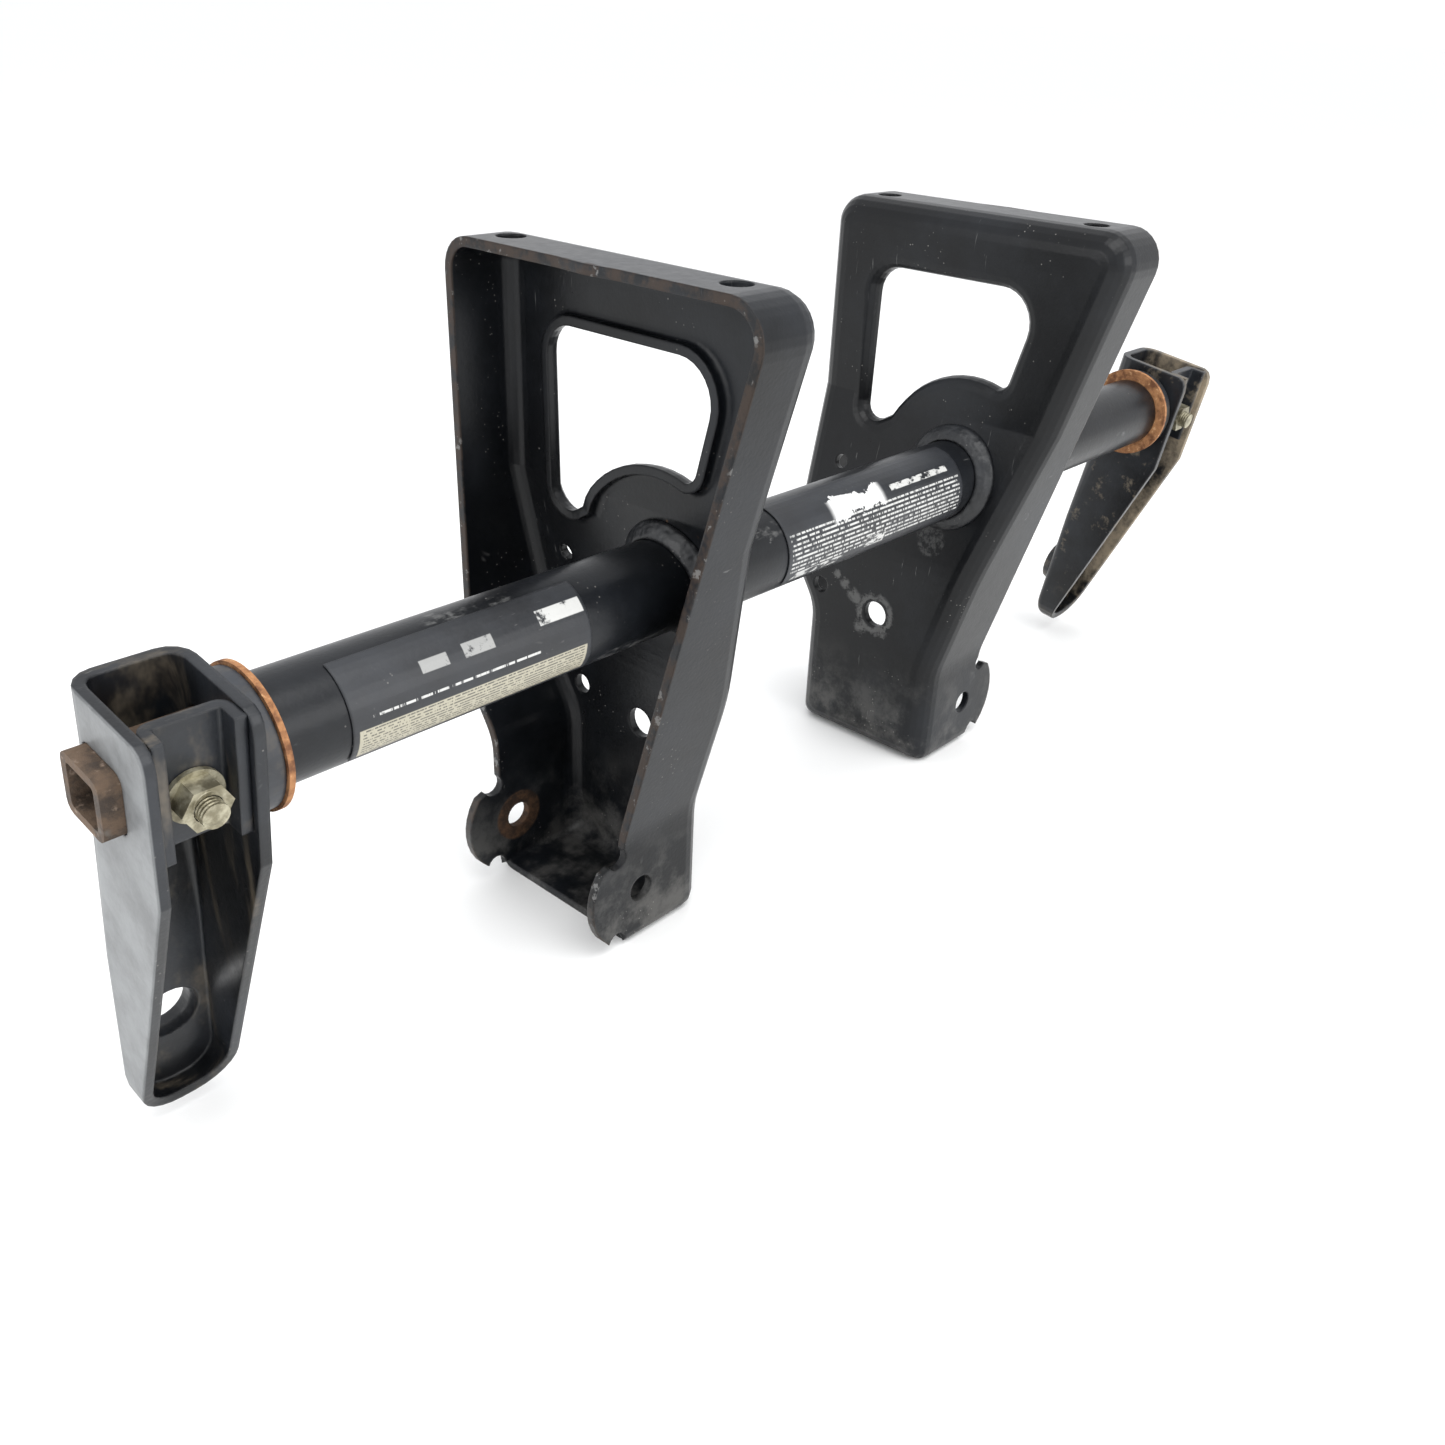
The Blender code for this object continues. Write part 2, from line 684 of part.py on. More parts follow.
def arm_surface(side):
    """Outer skin of an arm hanging straight down, in (X, V, -W)."""
    bm = bmesh.new()
    path = arm_path(side)
    normals = edge_normals(path, False)
    facing = 1 if (normals[0].x * side) < 0 else -1
    rows = [[bm.verts.new((x, arm_edge(w), -w)) for x, w in path]]
    for inward, depth in bend_rows(1.0, 1.0, 4):
        row = []
        for (x, w), normal in zip(path, normals):
            bend = arm_bend(w)
            shift = normal * (facing * inward * bend)
            row.append(bm.verts.new((x + shift.x, ARM_BACK - depth * bend, -(w + shift.y))))

        rows.append(row)
    skin(bm, rows, closed=False)
    web = rows[-1]
    edges = [bm.edges.get((web[i - 1], web[i])) for i in range(1, len(web))]
    edges.append(bm.edges.new((web[-1], web[0])))
    middle = side * ARM_MIDDLE
    bolt = [(middle + x, ARM_BACK, z) for x, z in circle((0, 0), BOLT_HOLE, 16)]
    edges += add_loop(bm, bolt)[1]
    ring = circle((0, 0), 1.0, 24)
    dimple_rows = []
    shape = ((DIMPLE_RADIUS, 0.0), (DIMPLE_TOP_RADIUS, DIMPLE_DEPTH))
    for radius, depth in shape:
        verts = [bm.verts.new((middle + radius * x, ARM_BACK + depth, -LINK_W + radius * z))
                 for x, z in ring]
        dimple_rows.append(verts)
    edges += [bm.edges.new((dimple_rows[0][i - 1], dimple_rows[0][i])) for i in range(len(ring))]
    bmesh.ops.triangle_fill(bm, use_beauty=True, use_dissolve=False, edges=edges)
    skin(bm, dimple_rows)
    bm.faces.new(dimple_rows[-1])
    bmesh.ops.recalc_face_normals(bm, faces=bm.faces)
    web_face = max(bm.faces, key=lambda f: f.calc_area() if abs(f.normal.y) > 0.99 else 0)
    if web_face.normal.y < 0:
        bmesh.ops.reverse_faces(bm, faces=bm.faces)
    return bm


def build_arm(label, pivot):
    side = SIDES[label]
    ob = add_part(label + "_arm", mesh_from_bmesh(arm_surface(side), "arm"), "arm_paint",
                  parent=pivot)
    add_solidify(ob, SHEET)
    opening = prism((rounded_square(BAR_SIZE + 2 * GAP, BAR_CORNER),), 0.06, "opening")
    opening.transform(Matrix.Translation((side * ARM_MIDDLE, 0, 0)) @ along("X"))
    add_cut(ob, add_cutter(label + "_arm_opening", opening, pivot))
    place = Matrix.Translation((side * ARM_MIDDLE, ARM_BACK, -LINK_W)) @ along("Y")
    hole = cylinder(LINK_HOLE, 0.02, 28, place, label + "_link_hole")
    add_cut(ob, add_cutter(label + "_link_hole", hole, pivot))
    return ob


def build_saddle(label, pivot):
    """Channel that the clamp bolt pulls onto the bar; its legs point forward."""
    side = SIDES[label]
    width = ARM_OUTER - ARM_INNER - 2 * SHEET - 2 * GAP
    back = -BAR_SIZE / 2 - GAP
    front = back - SADDLE_LEG
    half = width / 2
    inside = half - SADDLE_SHEET
    profile = rounded_outline((
        ((-half, front), 0, 0), ((-half, back), SADDLE_BEND, 4),
        ((half, back), SADDLE_BEND, 4), ((half, front), 0, 0),
        ((inside, front), 0, 0), ((inside, back - SADDLE_SHEET), SADDLE_BEND - SADDLE_SHEET, 3),
        ((-inside, back - SADDLE_SHEET), SADDLE_BEND - SADDLE_SHEET, 3), ((-inside, front), 0, 0)))
    length = SADDLE_BOTTOM - SADDLE_TOP
    mesh = prism((profile,), length, "saddle")
    mesh.transform(Matrix.Translation((side * ARM_MIDDLE, 0, -(SADDLE_TOP + SADDLE_BOTTOM) / 2)))
    ob = add_part(label + "_saddle", mesh, "arm_paint", parent=pivot)
    place = Matrix.Translation((side * ARM_MIDDLE, back, 0)) @ along("Y")
    hole = cylinder(BOLT_HOLE, 0.012, 16, place, label + "_saddle_hole")
    add_cut(ob, add_cutter(label + "_saddle_hole", hole, pivot))
    return ob


def hexagon():
    return arc((0, 0), HEX_ACROSS / math.sqrt(3), 0, 300, 5)


def join_solids(meshes, name, mat_name, pivot):
    """Union of closed meshes as one object."""
    first = add_part(name, meshes[0], mat_name, parent=pivot)
    for i, mesh in enumerate(meshes[1:]):
        other = add_cutter(f"{name}_add_{i}", mesh, pivot)
        mod = first.modifiers.new(f"Join_{i}", "BOOLEAN")
        mod.operation = "UNION"
        mod.solver = "EXACT"
        mod.object = other
    return first


def build_bolt(label, pivot):
    """Flanged hex bolt from behind the arm, pointing forward."""
    x = SIDES[label] * ARM_MIDDLE
    seat = ARM_BACK + GAP
    length = seat + 0.001 - BOLT_END_V
    shank = cylinder(BOLT_RADIUS, length, 18,
                     Matrix.Translation((x, (seat + 0.001 + BOLT_END_V) / 2, 0)) @ along("Y"),
                     "shank")
    flange = cylinder(FLANGE_RADIUS, FLANGE_HEIGHT, 28,
                      Matrix.Translation((x, seat + FLANGE_HEIGHT / 2, 0)) @ along("Y"), "flange")
    head = prism((hexagon(),), HEAD_HEIGHT - 0.0004, "head")
    head.transform(Matrix.Translation((x, seat + (HEAD_HEIGHT + 0.0004) / 2, 0)) @ along("Y"))
    return join_solids((flange, head, shank), label + "_clamp_bolt", "zinc", pivot)


def build_nut(label, pivot):
    x = SIDES[label] * ARM_MIDDLE
    seat = -BAR_SIZE / 2 - 2 * GAP - SADDLE_SHEET
    flange = cylinder(FLANGE_RADIUS, FLANGE_HEIGHT, 28,
                      Matrix.Translation((x, seat - FLANGE_HEIGHT / 2, 0)) @ along("Y"), "flange")
    body = prism((hexagon(),), NUT_HEIGHT - 0.0004, "body")
    body.transform(Matrix.Translation((x, seat - (NUT_HEIGHT + 0.0004) / 2, 0)) @ along("Y"))
    nut = join_solids((flange, body), label + "_flange_nut", "zinc", pivot)
    bore = cylinder(BOLT_RADIUS + GAP, 0.03, 18,
                    Matrix.Translation((x, seat, 0)) @ along("Y"), label + "_nut_bore")
    add_cut(nut, add_cutter(label + "_nut_bore", bore, pivot))
    return nut


# ---------------------------------------------------------------- assembly
def build_all():
    build_tube()
    bar_pivot = add_pivot("bar_pivot", (0, AXIS_Y, AXIS_Z), ARM_TILT)
    build_bar(bar_pivot)
    for label in SIDES:
        build_bracket(label)
        build_welds(label)
        build_washer(label)
        build_bushing(label, bar_pivot)
        build_arm(label, bar_pivot)
        build_saddle(label, bar_pivot)
        build_bolt(label, bar_pivot)
        build_nut(label, bar_pivot)
    build_label("outer_label", -0.243, -0.150, 18, 132)
    build_label("centre_label", -0.047, 0.074, 2, 128)


clear_scene()
PARTS = new_collection("torsion_bar_stabiliser")
CUTTERS = new_collection("cutters")
build_all()
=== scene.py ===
import math

import bpy
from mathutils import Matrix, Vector


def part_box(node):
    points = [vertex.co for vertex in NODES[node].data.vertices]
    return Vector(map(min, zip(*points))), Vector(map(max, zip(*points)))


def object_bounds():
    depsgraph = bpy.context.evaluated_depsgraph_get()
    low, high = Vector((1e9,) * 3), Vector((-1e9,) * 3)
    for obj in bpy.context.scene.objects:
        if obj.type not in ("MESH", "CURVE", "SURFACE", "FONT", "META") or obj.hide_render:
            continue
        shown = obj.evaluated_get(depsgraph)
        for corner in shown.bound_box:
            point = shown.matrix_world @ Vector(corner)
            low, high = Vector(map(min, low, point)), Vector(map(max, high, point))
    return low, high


# Where things are, in metres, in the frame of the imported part.
AXIS_Y, AXIS_Z = -0.0094, 0.1485          # pivot tube
ARM_TILT = math.radians(9.0)
BOLT_RADIUS = 0.004
RIM = 0.126
EAR_X, EAR_Z, EAR_RADIUS = 0.1165, 0.0245, 0.026
BIG_HOLE = (0.0167, 0.0736)
WEB_REACH = 0.097                         # the web's inboard face is nearer the middle than this
ARM_INNER, ARM_OUTER = 0.2735, 0.307      # the arm's two side plates
THREAD_PITCH = 0.00125

# Camera at the angle of the original picture.
CAMERA_POSITION = (-0.4192, -0.3213, 0.3357)
CAMERA_ANGLES = (61.272, -2.390, -47.623)
CAMERA_LENS = 32.58
FLOOR_SIZE = 160.0

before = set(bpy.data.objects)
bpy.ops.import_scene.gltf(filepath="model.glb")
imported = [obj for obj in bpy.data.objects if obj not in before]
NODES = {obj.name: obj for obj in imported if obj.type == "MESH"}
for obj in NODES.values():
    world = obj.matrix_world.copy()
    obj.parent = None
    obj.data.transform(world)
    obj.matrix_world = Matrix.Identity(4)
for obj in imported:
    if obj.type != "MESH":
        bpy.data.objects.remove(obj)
CAD_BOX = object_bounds()


# ---------------------------------------------------------------- node helpers
class Look:
    """A material under construction; its methods add nodes and return sockets."""

    def __init__(self, name):
        self.mat = bpy.data.materials.new(name)
        self.mat.use_nodes = True
        self.tree = self.mat.node_tree
        self.shader = self.tree.nodes["Principled BSDF"]
        self.coords = self.tree.nodes.new("ShaderNodeTexCoord").outputs["Object"]
        split = self.tree.nodes.new("ShaderNodeSeparateXYZ")
        self.tree.links.new(self.coords, split.inputs[0])
        self.x, self.y, self.z = split.outputs

    def put(self, value, socket):
        if isinstance(value, bpy.types.NodeSocket):
            self.tree.links.new(value, socket)
        else:
            socket.default_value = value

    def math(self, operation, a, b=0.0, c=0.0, clamp=False):
        node = self.tree.nodes.new("ShaderNodeMath")
        node.operation = operation
        node.use_clamp = clamp
        for value, socket in zip((a, b, c), node.inputs):
            self.put(value, socket)
        return node.outputs[0]

    def ramp(self, value, low, high, start=0.0, end=1.0):
        node = self.tree.nodes.new("ShaderNodeMapRange")
        node.interpolation_type = "SMOOTHSTEP"
        self.put(value, node.inputs["Value"])
        for name, number in zip(("From Min", "From Max", "To Min", "To Max"), (low, high, start, end)):
            self.put(number, node.inputs[name])
        return node.outputs["Result"]

    def stretched(self, scale):
        node = self.tree.nodes.new("ShaderNodeMapping")
        node.inputs["Scale"].default_value = scale
        self.tree.links.new(self.coords, node.inputs["Vector"])
        return node.outputs[0]

    def noise(self, scale, detail=4.0, roughness=0.55, vector=None, distortion=0.0):
        node = self.tree.nodes.new("ShaderNodeTexNoise")
        self.put(vector or self.coords, node.inputs["Vector"])
        node.inputs["Scale"].default_value = scale
        node.inputs["Detail"].default_value = detail
        node.inputs["Roughness"].default_value = roughness
        node.inputs["Distortion"].default_value = distortion
        return node.outputs["Fac"]

    def cells(self, scale, vector=None):
        node = self.tree.nodes.new("ShaderNodeTexVoronoi")
        self.put(vector or self.coords, node.inputs["Vector"])
        node.inputs["Scale"].default_value = scale
        return node.outputs["Distance"]

    def mix(self, factor, a, b):
        node = self.tree.nodes.new("ShaderNodeMix")
        node.data_type = "RGBA"
        self.put(factor, node.inputs[0])
        self.put(a, node.inputs[6])
        self.put(b, node.inputs[7])
        return node.outputs[2]

    def blend(self, factor, a, b):
        """Number between a and b."""
        return self.math("ADD", self.math("MULTIPLY", factor, self.math("SUBTRACT", b, a)), a)

    def near(self, u, v, center, inner, outer):
        """1 within inner metres of a point in the (u, v) plane, 0 beyond outer."""
        du = self.math("SUBTRACT", u, center[0])
        dv = self.math("SUBTRACT", v, center[1])
        far = self.math("SQRT", self.math("ADD", self.math("MULTIPLY", du, du),
                                          self.math("MULTIPLY", dv, dv)))
        return self.ramp(far, inner, outer, 1.0, 0.0)

    def both(self, *masks):
        result = masks[0]
        for mask in masks[1:]:
            result = self.math("MULTIPLY", result, mask)
        return result

    def bump(self, height, strength, distance=0.001, below=None):
        node = self.tree.nodes.new("ShaderNodeBump")
        node.inputs["Strength"].default_value = strength
        node.inputs["Distance"].default_value = distance
        self.put(height, node.inputs["Height"])
        if below is not None:
            self.put(below, node.inputs["Normal"])
        return node.outputs[0]

    def rounded(self, radius):
        """Normal that rounds edges and facets over a short distance."""
        node = self.tree.nodes.new("ShaderNodeBevel")
        node.samples = 6
        node.inputs["Radius"].default_value = radius
        return node.outputs[0]

    def finish(self, color, roughness, normal=None, metallic=0.0, specular=0.5, coat=0.0):
        self.put(color, self.shader.inputs["Base Color"])
        self.put(roughness, self.shader.inputs["Roughness"])
        self.put(metallic, self.shader.inputs["Metallic"])
        self.shader.inputs["Specular IOR Level"].default_value = specular
        self.shader.inputs["Coat Weight"].default_value = coat
        self.shader.inputs["Coat Roughness"].default_value = 0.22
        if normal is not None:
            self.put(normal, self.shader.inputs["Normal"])
        return self.mat


BLACK = (0.0030, 0.0034, 0.0042, 1)
GREY_HAZE = (0.052, 0.060, 0.074, 1)
DUST = (0.30, 0.29, 0.27, 1)
RUST_BROWN = (0.085, 0.045, 0.024, 1)
EDGE_BROWN = (0.055, 0.036, 0.025, 1)
SCUFF_GREY = (0.20, 0.20, 0.195, 1)
RUST_DARK = (0.030, 0.018, 0.012, 1)
RUST_ORANGE = (0.40, 0.19, 0.080, 1)
BARE_GREY = (0.24, 0.24, 0.235, 1)
MUD = (0.33, 0.27, 0.19, 1)
WORN_PAINT = (0.27, 0.28, 0.285, 1)


# ---------------------------------------------------------------- materials
def painted(look, haze=0.5, base=BLACK, softness=0.0014):
    """Aged semi-gloss black paint: haze, fine speckle, scratches and orange peel.
    Returns colour, roughness and normal sockets to add to."""
    cloud = look.ramp(look.noise(14.0, 6.0, 0.6), 0.38, 0.72)
    fine = look.noise(210.0, 5.0, 0.65)
    haze_mask = look.math("MULTIPLY", look.blend(fine, 0.6, 1.2), look.math("MULTIPLY", cloud, haze))
    color = look.mix(haze_mask, base, GREY_HAZE)
    lines = look.noise(60.0, 3.0, 0.7, look.stretched((1.0, 9.0, 0.7)), 0.6)
    scratch = look.both(look.ramp(lines, 0.66, 0.72), look.ramp(look.noise(25.0), 0.5, 0.62))
    color = look.mix(look.math("MULTIPLY", scratch, 0.35), color, BARE_GREY)
    specks = look.both(look.ramp(look.cells(420.0), 0.16, 0.08), look.ramp(look.noise(40.0), 0.56, 0.66))
    color = look.mix(look.math("MULTIPLY", specks, 0.5), color, DUST)
    roughness = look.blend(look.math("MAXIMUM", haze_mask, specks), 0.30, 0.52)
    roughness = look.math("ADD", roughness, look.math("MULTIPLY", look.math("SUBTRACT", fine, 0.5), 0.14))
    peel = look.bump(look.noise(650.0, 2.0), 0.10, 0.0006, look.rounded(softness))
    normal = look.bump(look.noise(38.0, 3.0), 0.06, 0.002, peel)
    return color, roughness, normal


def add_wear(look, color, roughness, mask, tint, strength=1.0, rough=0.75):
    mask = look.math("MULTIPLY", mask, strength, clamp=True)
    return look.mix(mask, color, tint), look.blend(mask, roughness, rough)


def left_stains(look, color, roughness):
    """Washer-shaped rust round the back ear's hole and rust pits above the tube."""
    rust = look.noise(240.0, 5.0, 0.7)
    stain = look.both(look.near(look.x, look.z, (-EAR_X, EAR_Z), 0.0108, 0.0124),
                      look.ramp(look.y, 0.050, 0.056))
    brown = look.mix(look.ramp(rust, 0.35, 0.65), RUST_DARK, RUST_BROWN)
    color, roughness = add_wear(look, color, roughness, stain, brown, 0.95, 0.85)
    pits = look.both(look.ramp(look.cells(260.0), 0.20, 0.10), look.ramp(look.noise(55.0), 0.54, 0.60),
                     look.near(look.y, look.z, (-0.005, 0.183), 0.016, 0.030))
    color, roughness = add_wear(look, color, roughness, pits, RUST_BROWN, 0.8)
    return color, roughness


def right_scuffs(look, color, roughness):
    """Pale smears round the web's largest hole and a faint one under the tube."""
    warp = look.math("MULTIPLY", look.math("SUBTRACT", look.noise(130.0, 6.0, 0.7), 0.5), 0.010)
    y, z = look.math("ADD", look.y, warp), look.math("ADD", look.z, warp)
    inboard = look.ramp(look.math("ABSOLUTE", look.x), WEB_REACH + 0.003, WEB_REACH)
    outside = look.math("SUBTRACT", 1.0, look.near(y, z, BIG_HOLE, 0.0078, 0.0090))
    scuff = look.both(look.near(y, z, BIG_HOLE, 0.0100, 0.0122), outside)
    for center, radius in (((0.0300, 0.0790), 0.0042), ((0.0245, 0.0635), 0.0040),
                           ((0.0365, 0.0840), 0.0034), ((0.0420, 0.0880), 0.0026)):
        spot = look.near(y, z, center, radius * 0.5, radius * 1.15)
        scuff = look.math("MAXIMUM", scuff, spot)
    scuff = look.both(scuff, inboard, look.ramp(look.noise(300.0, 4.0, 0.7), 0.30, 0.52))
    color, roughness = add_wear(look, color, roughness, scuff, SCUFF_GREY, 0.42, 0.7)
    crescent = look.both(look.near(y, z, (-0.0080, 0.1190), 0.0065, 0.0085), inboard,
                         look.ramp(look.noise(350.0, 4.0, 0.7), 0.42, 0.62))
    color, roughness = add_wear(look, color, roughness, crescent, BARE_GREY, 0.22)
    return color, roughness


def bracket_look(side):
    look = Look("bracket_paint_" + ("left" if side < 0 else "right"))
    color, roughness, normal = painted(look, 0.17)
    reach = look.math("ABSOLUTE", look.x)
    # free edge of the flanges and of the ears, rubbed through to brown steel
    flange_edge = look.both(look.ramp(reach, RIM - 0.0010, RIM - 0.0002), look.ramp(look.z, 0.046, 0.050))
    off_ear = look.near(reach, look.z, (EAR_X, EAR_Z), EAR_RADIUS - 0.0010, EAR_RADIUS - 0.0003)
    ear_edge = look.both(look.math("SUBTRACT", 1.0, off_ear), look.ramp(reach, RIM - 0.001, RIM + 0.001),
                         look.ramp(look.z, 0.050, 0.046))
    edge = look.math("MAXIMUM", flange_edge, ear_edge)
    rubbed = look.ramp(look.noise(95.0, 5.0, 0.7), 0.40, 0.58)
    color, roughness = add_wear(look, color, roughness, look.both(edge, rubbed), EDGE_BROWN, 0.55)
    bright = look.ramp(look.noise(160.0, 4.0, 0.7), 0.60, 0.66)
    color, roughness = add_wear(look, color, roughness, look.both(edge, bright), BARE_GREY, 0.5, 0.5)
    # dust gathers low down in the pan
    low = look.both(look.ramp(look.z, 0.060, 0.004), look.ramp(look.noise(45.0, 6.0, 0.7), 0.42, 0.66))
    color, roughness = add_wear(look, color, roughness, low, DUST, 0.22)
    marks = left_stains if side < 0 else right_scuffs
    color, roughness = marks(look, color, roughness)
    return look.finish(color, roughness, normal, specular=0.26)


def tube_look():
    look = Look("tube_paint")
    color, roughness, normal = painted(look, 0.16, softness=0.0026)
    rubs = look.both(look.ramp(look.noise(30.0, 6.0, 0.7, look.stretched((0.35, 1, 1))), 0.60, 0.68),
                     look.ramp(look.noise(260.0, 3.0), 0.42, 0.6))
    color, roughness = add_wear(look, color, roughness, rubs, BARE_GREY, 0.45, 0.55)
    return look.finish(color, roughness, normal, specular=0.30)


def weld_look():
    look = Look("weld_paint")
    color, roughness, normal = painted(look, 0.25)
    ripples = look.noise(130.0, 2.0, 0.5)
    return look.finish(color, look.math("ADD", roughness, 0.12), look.bump(ripples, 0.8, 0.0025, normal))


def arm_look(side):
    look = Look("arm_paint_" + ("left" if side < 0 else "right"))
    color, roughness, normal = painted(look, 0.40)
    film = look.noise(42.0, 7.0, 0.68)
    reach = look.math("ABSOLUTE", look.x)
    inside = look.both(look.ramp(reach, ARM_INNER + 0.0005, ARM_INNER + 0.0031),
                       look.ramp(reach, ARM_OUTER - 0.0030, ARM_OUTER - 0.0038))
    if side < 0:
        outer = look.ramp(reach, ARM_OUTER - 0.0008, ARM_OUTER - 0.0001)
        worn = look.ramp(film, 0.30, 0.70, 0.45, 0.95)
        color, roughness = add_wear(look, color, roughness, look.both(outer, worn), WORN_PAINT,
                                    0.9, 0.5)
        streaks = look.ramp(look.noise(30.0, 5.0, 0.7, look.stretched((1, 3.0, 0.35))), 0.52, 0.75)
        color, roughness = add_wear(look, color, roughness, look.both(inside, streaks), MUD, 0.35, 0.8)
    else:
        coat_of_mud = look.ramp(film, 0.34, 0.60)
        outer = look.ramp(reach, ARM_OUTER - 0.0070, ARM_OUTER - 0.0034)
        color, roughness = add_wear(look, color, roughness, look.both(outer, coat_of_mud), MUD, 0.85, 0.9)
        color, roughness = add_wear(look, color, roughness, look.both(inside, look.ramp(film, 0.5, 0.7)),
                                    MUD, 0.5, 0.9)
        spots = look.ramp(look.noise(85.0, 5.0, 0.7), 0.56, 0.68)
        color, roughness = add_wear(look, color, roughness, look.both(look.ramp(look.z, 0.02, 0.07),
                                                                     spots), MUD, 0.30, 0.85)
    return look.finish(color, roughness, normal, specular=0.40)


def bar_look():
    look = Look("bar_rust")
    mottle = look.noise(120.0, 7.0, 0.7)
    color = look.mix(look.ramp(mottle, 0.35, 0.62), (0.050, 0.036, 0.027, 1), (0.145, 0.098, 0.066, 1))
    color = look.mix(look.ramp(look.noise(300.0, 4.0), 0.60, 0.74), color, (0.27, 0.20, 0.15, 1))
    bare = look.ramp(look.noise(55.0, 4.0, 0.6), 0.60, 0.70)
    color = look.mix(look.math("MULTIPLY", bare, 0.6), color, (0.21, 0.20, 0.18, 1))
    normal = look.bump(look.noise(380.0, 6.0, 0.7), 0.5, 0.0010)
    return look.finish(color, look.ramp(mottle, 0.3, 0.7, 0.62, 0.9), normal, metallic=0.25)


def ring_look():
    look = Look("ring_rust")
    mottle = look.noise(210.0, 7.0, 0.7)
    color = look.mix(look.ramp(mottle, 0.34, 0.60), (0.145, 0.055, 0.020, 1), RUST_ORANGE)
    color = look.mix(look.ramp(look.noise(420.0, 3.0), 0.60, 0.70), color, (0.55, 0.32, 0.16, 1))
    normal = look.bump(look.noise(600.0, 5.0, 0.7), 0.5, 0.0008)
    return look.finish(color, look.ramp(mottle, 0.3, 0.7, 0.72, 0.95), normal, metallic=0.1)


def collar_look():
    look = Look("bushing_plastic")
    color, roughness, normal = painted(look, 0.8, (0.011, 0.011, 0.012, 1))
    grime = look.both(look.ramp(look.noise(80.0, 6.0, 0.7), 0.45, 0.66), 0.5)
    color, roughness = add_wear(look, color, roughness, grime, (0.16, 0.13, 0.09, 1), 0.5, 0.8)
    return look.finish(color, look.math("ADD", roughness, 0.10), normal)


def zinc_look():
    look = Look("zinc_plate")
    mottle = look.noise(170.0, 6.0, 0.65)
    color = look.mix(look.ramp(mottle, 0.36, 0.62), (0.20, 0.18, 0.12, 1), (0.47, 0.44, 0.33, 1))
    dirt = look.ramp(look.noise(90.0, 6.0, 0.7), 0.50, 0.66)
    color = look.mix(look.math("MULTIPLY", dirt, 0.75), color, (0.10, 0.085, 0.055, 1))
    # thread of the bolt's free end
    back = look.math("ADD", look.math("MULTIPLY", look.y, math.cos(ARM_TILT)),
                     look.math("MULTIPLY", look.z, math.sin(ARM_TILT)))
    thread = look.math("SINE", look.math("MULTIPLY", back, 2 * math.pi / THREAD_PITCH))
    up = look.math("SUBTRACT", look.math("MULTIPLY", look.z, math.cos(ARM_TILT)),
                   look.math("MULTIPLY", look.y, math.sin(ARM_TILT)))
    low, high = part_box("left_clamp_bolt")
    middle = (low + high) / 2
    bolt_up = middle.z * math.cos(ARM_TILT) - middle.y * math.sin(ARM_TILT)
    core = look.near(look.math("ABSOLUTE", look.x), up, (-middle.x, bolt_up), BOLT_RADIUS - 0.0001,
                     BOLT_RADIUS + 0.0002)
    grain = look.bump(look.noise(500.0, 4.0), 0.25, 0.0006)
    normal = look.bump(look.both(thread, core), 0.5, 0.0004, grain)
    return look.finish(color, look.ramp(mottle, 0.3, 0.7, 0.38, 0.62), normal, metallic=0.75)


def around_tube(look):
    """Angle from the top of the tube towards the front, in radians."""
    forward = look.math("SUBTRACT", AXIS_Y, look.y)
    upward = look.math("SUBTRACT", look.z, AXIS_Z)
    return look.math("ARCTAN2", forward, upward)


def print_rows(look, angle, x_range, rows, gaps, seed):
    """Illegible fine print: rows of short blank dashes between two ends of the tube."""
    start, end = x_range
    first, last = (math.radians(a) for a in rows[:2])
    count = rows[2]
    inside_x = look.both(look.ramp(look.x, start, start + 0.0006), look.ramp(look.x, end, end - 0.0006))
    position = look.math("MULTIPLY", look.math("SUBTRACT", angle, first), count / (last - first))
    within = look.both(look.ramp(position, 0.0, 0.04), look.ramp(position, count, count - 0.04))
    row = look.math("FLOOR", position)
    height = look.math("FRACT", position)
    band = look.both(look.ramp(height, 0.20, 0.30), look.ramp(height, 0.74, 0.64))
    join = look.tree.nodes.new("ShaderNodeCombineXYZ")
    look.put(look.math("MULTIPLY", look.x, gaps), join.inputs[0])
    look.put(look.math("MULTIPLY", row, 7.31), join.inputs[1])
    join.inputs[2].default_value = seed
    dashes = look.ramp(look.noise(1.0, 3.0, 0.8, join.outputs[0]), 0.44, 0.49)
    return look.both(inside_x, within, band, dashes)


def block(look, angle, x_range, angle_range, soft=0.0004):
    """Plain rectangle on the tube's surface."""
    start, end = x_range
    low, high = (math.radians(a) for a in angle_range)
    return look.both(look.ramp(look.x, start, start + soft), look.ramp(look.x, end, end - soft),
                     look.ramp(angle, low, low + 0.02), look.ramp(angle, high, high - 0.02))


def film_base(look):
    color, roughness, normal = painted(look, 0.35, (0.010, 0.0105, 0.012, 1))
    return color, look.math("ADD", roughness, 0.06), normal


WHITE_INK = (0.62, 0.62, 0.60, 1)
CREAM = (0.46, 0.43, 0.33, 1)


def rubbed_ink(look, amount):
    return look.ramp(look.noise(150.0, 6.0, 0.75), amount, amount + 0.10)


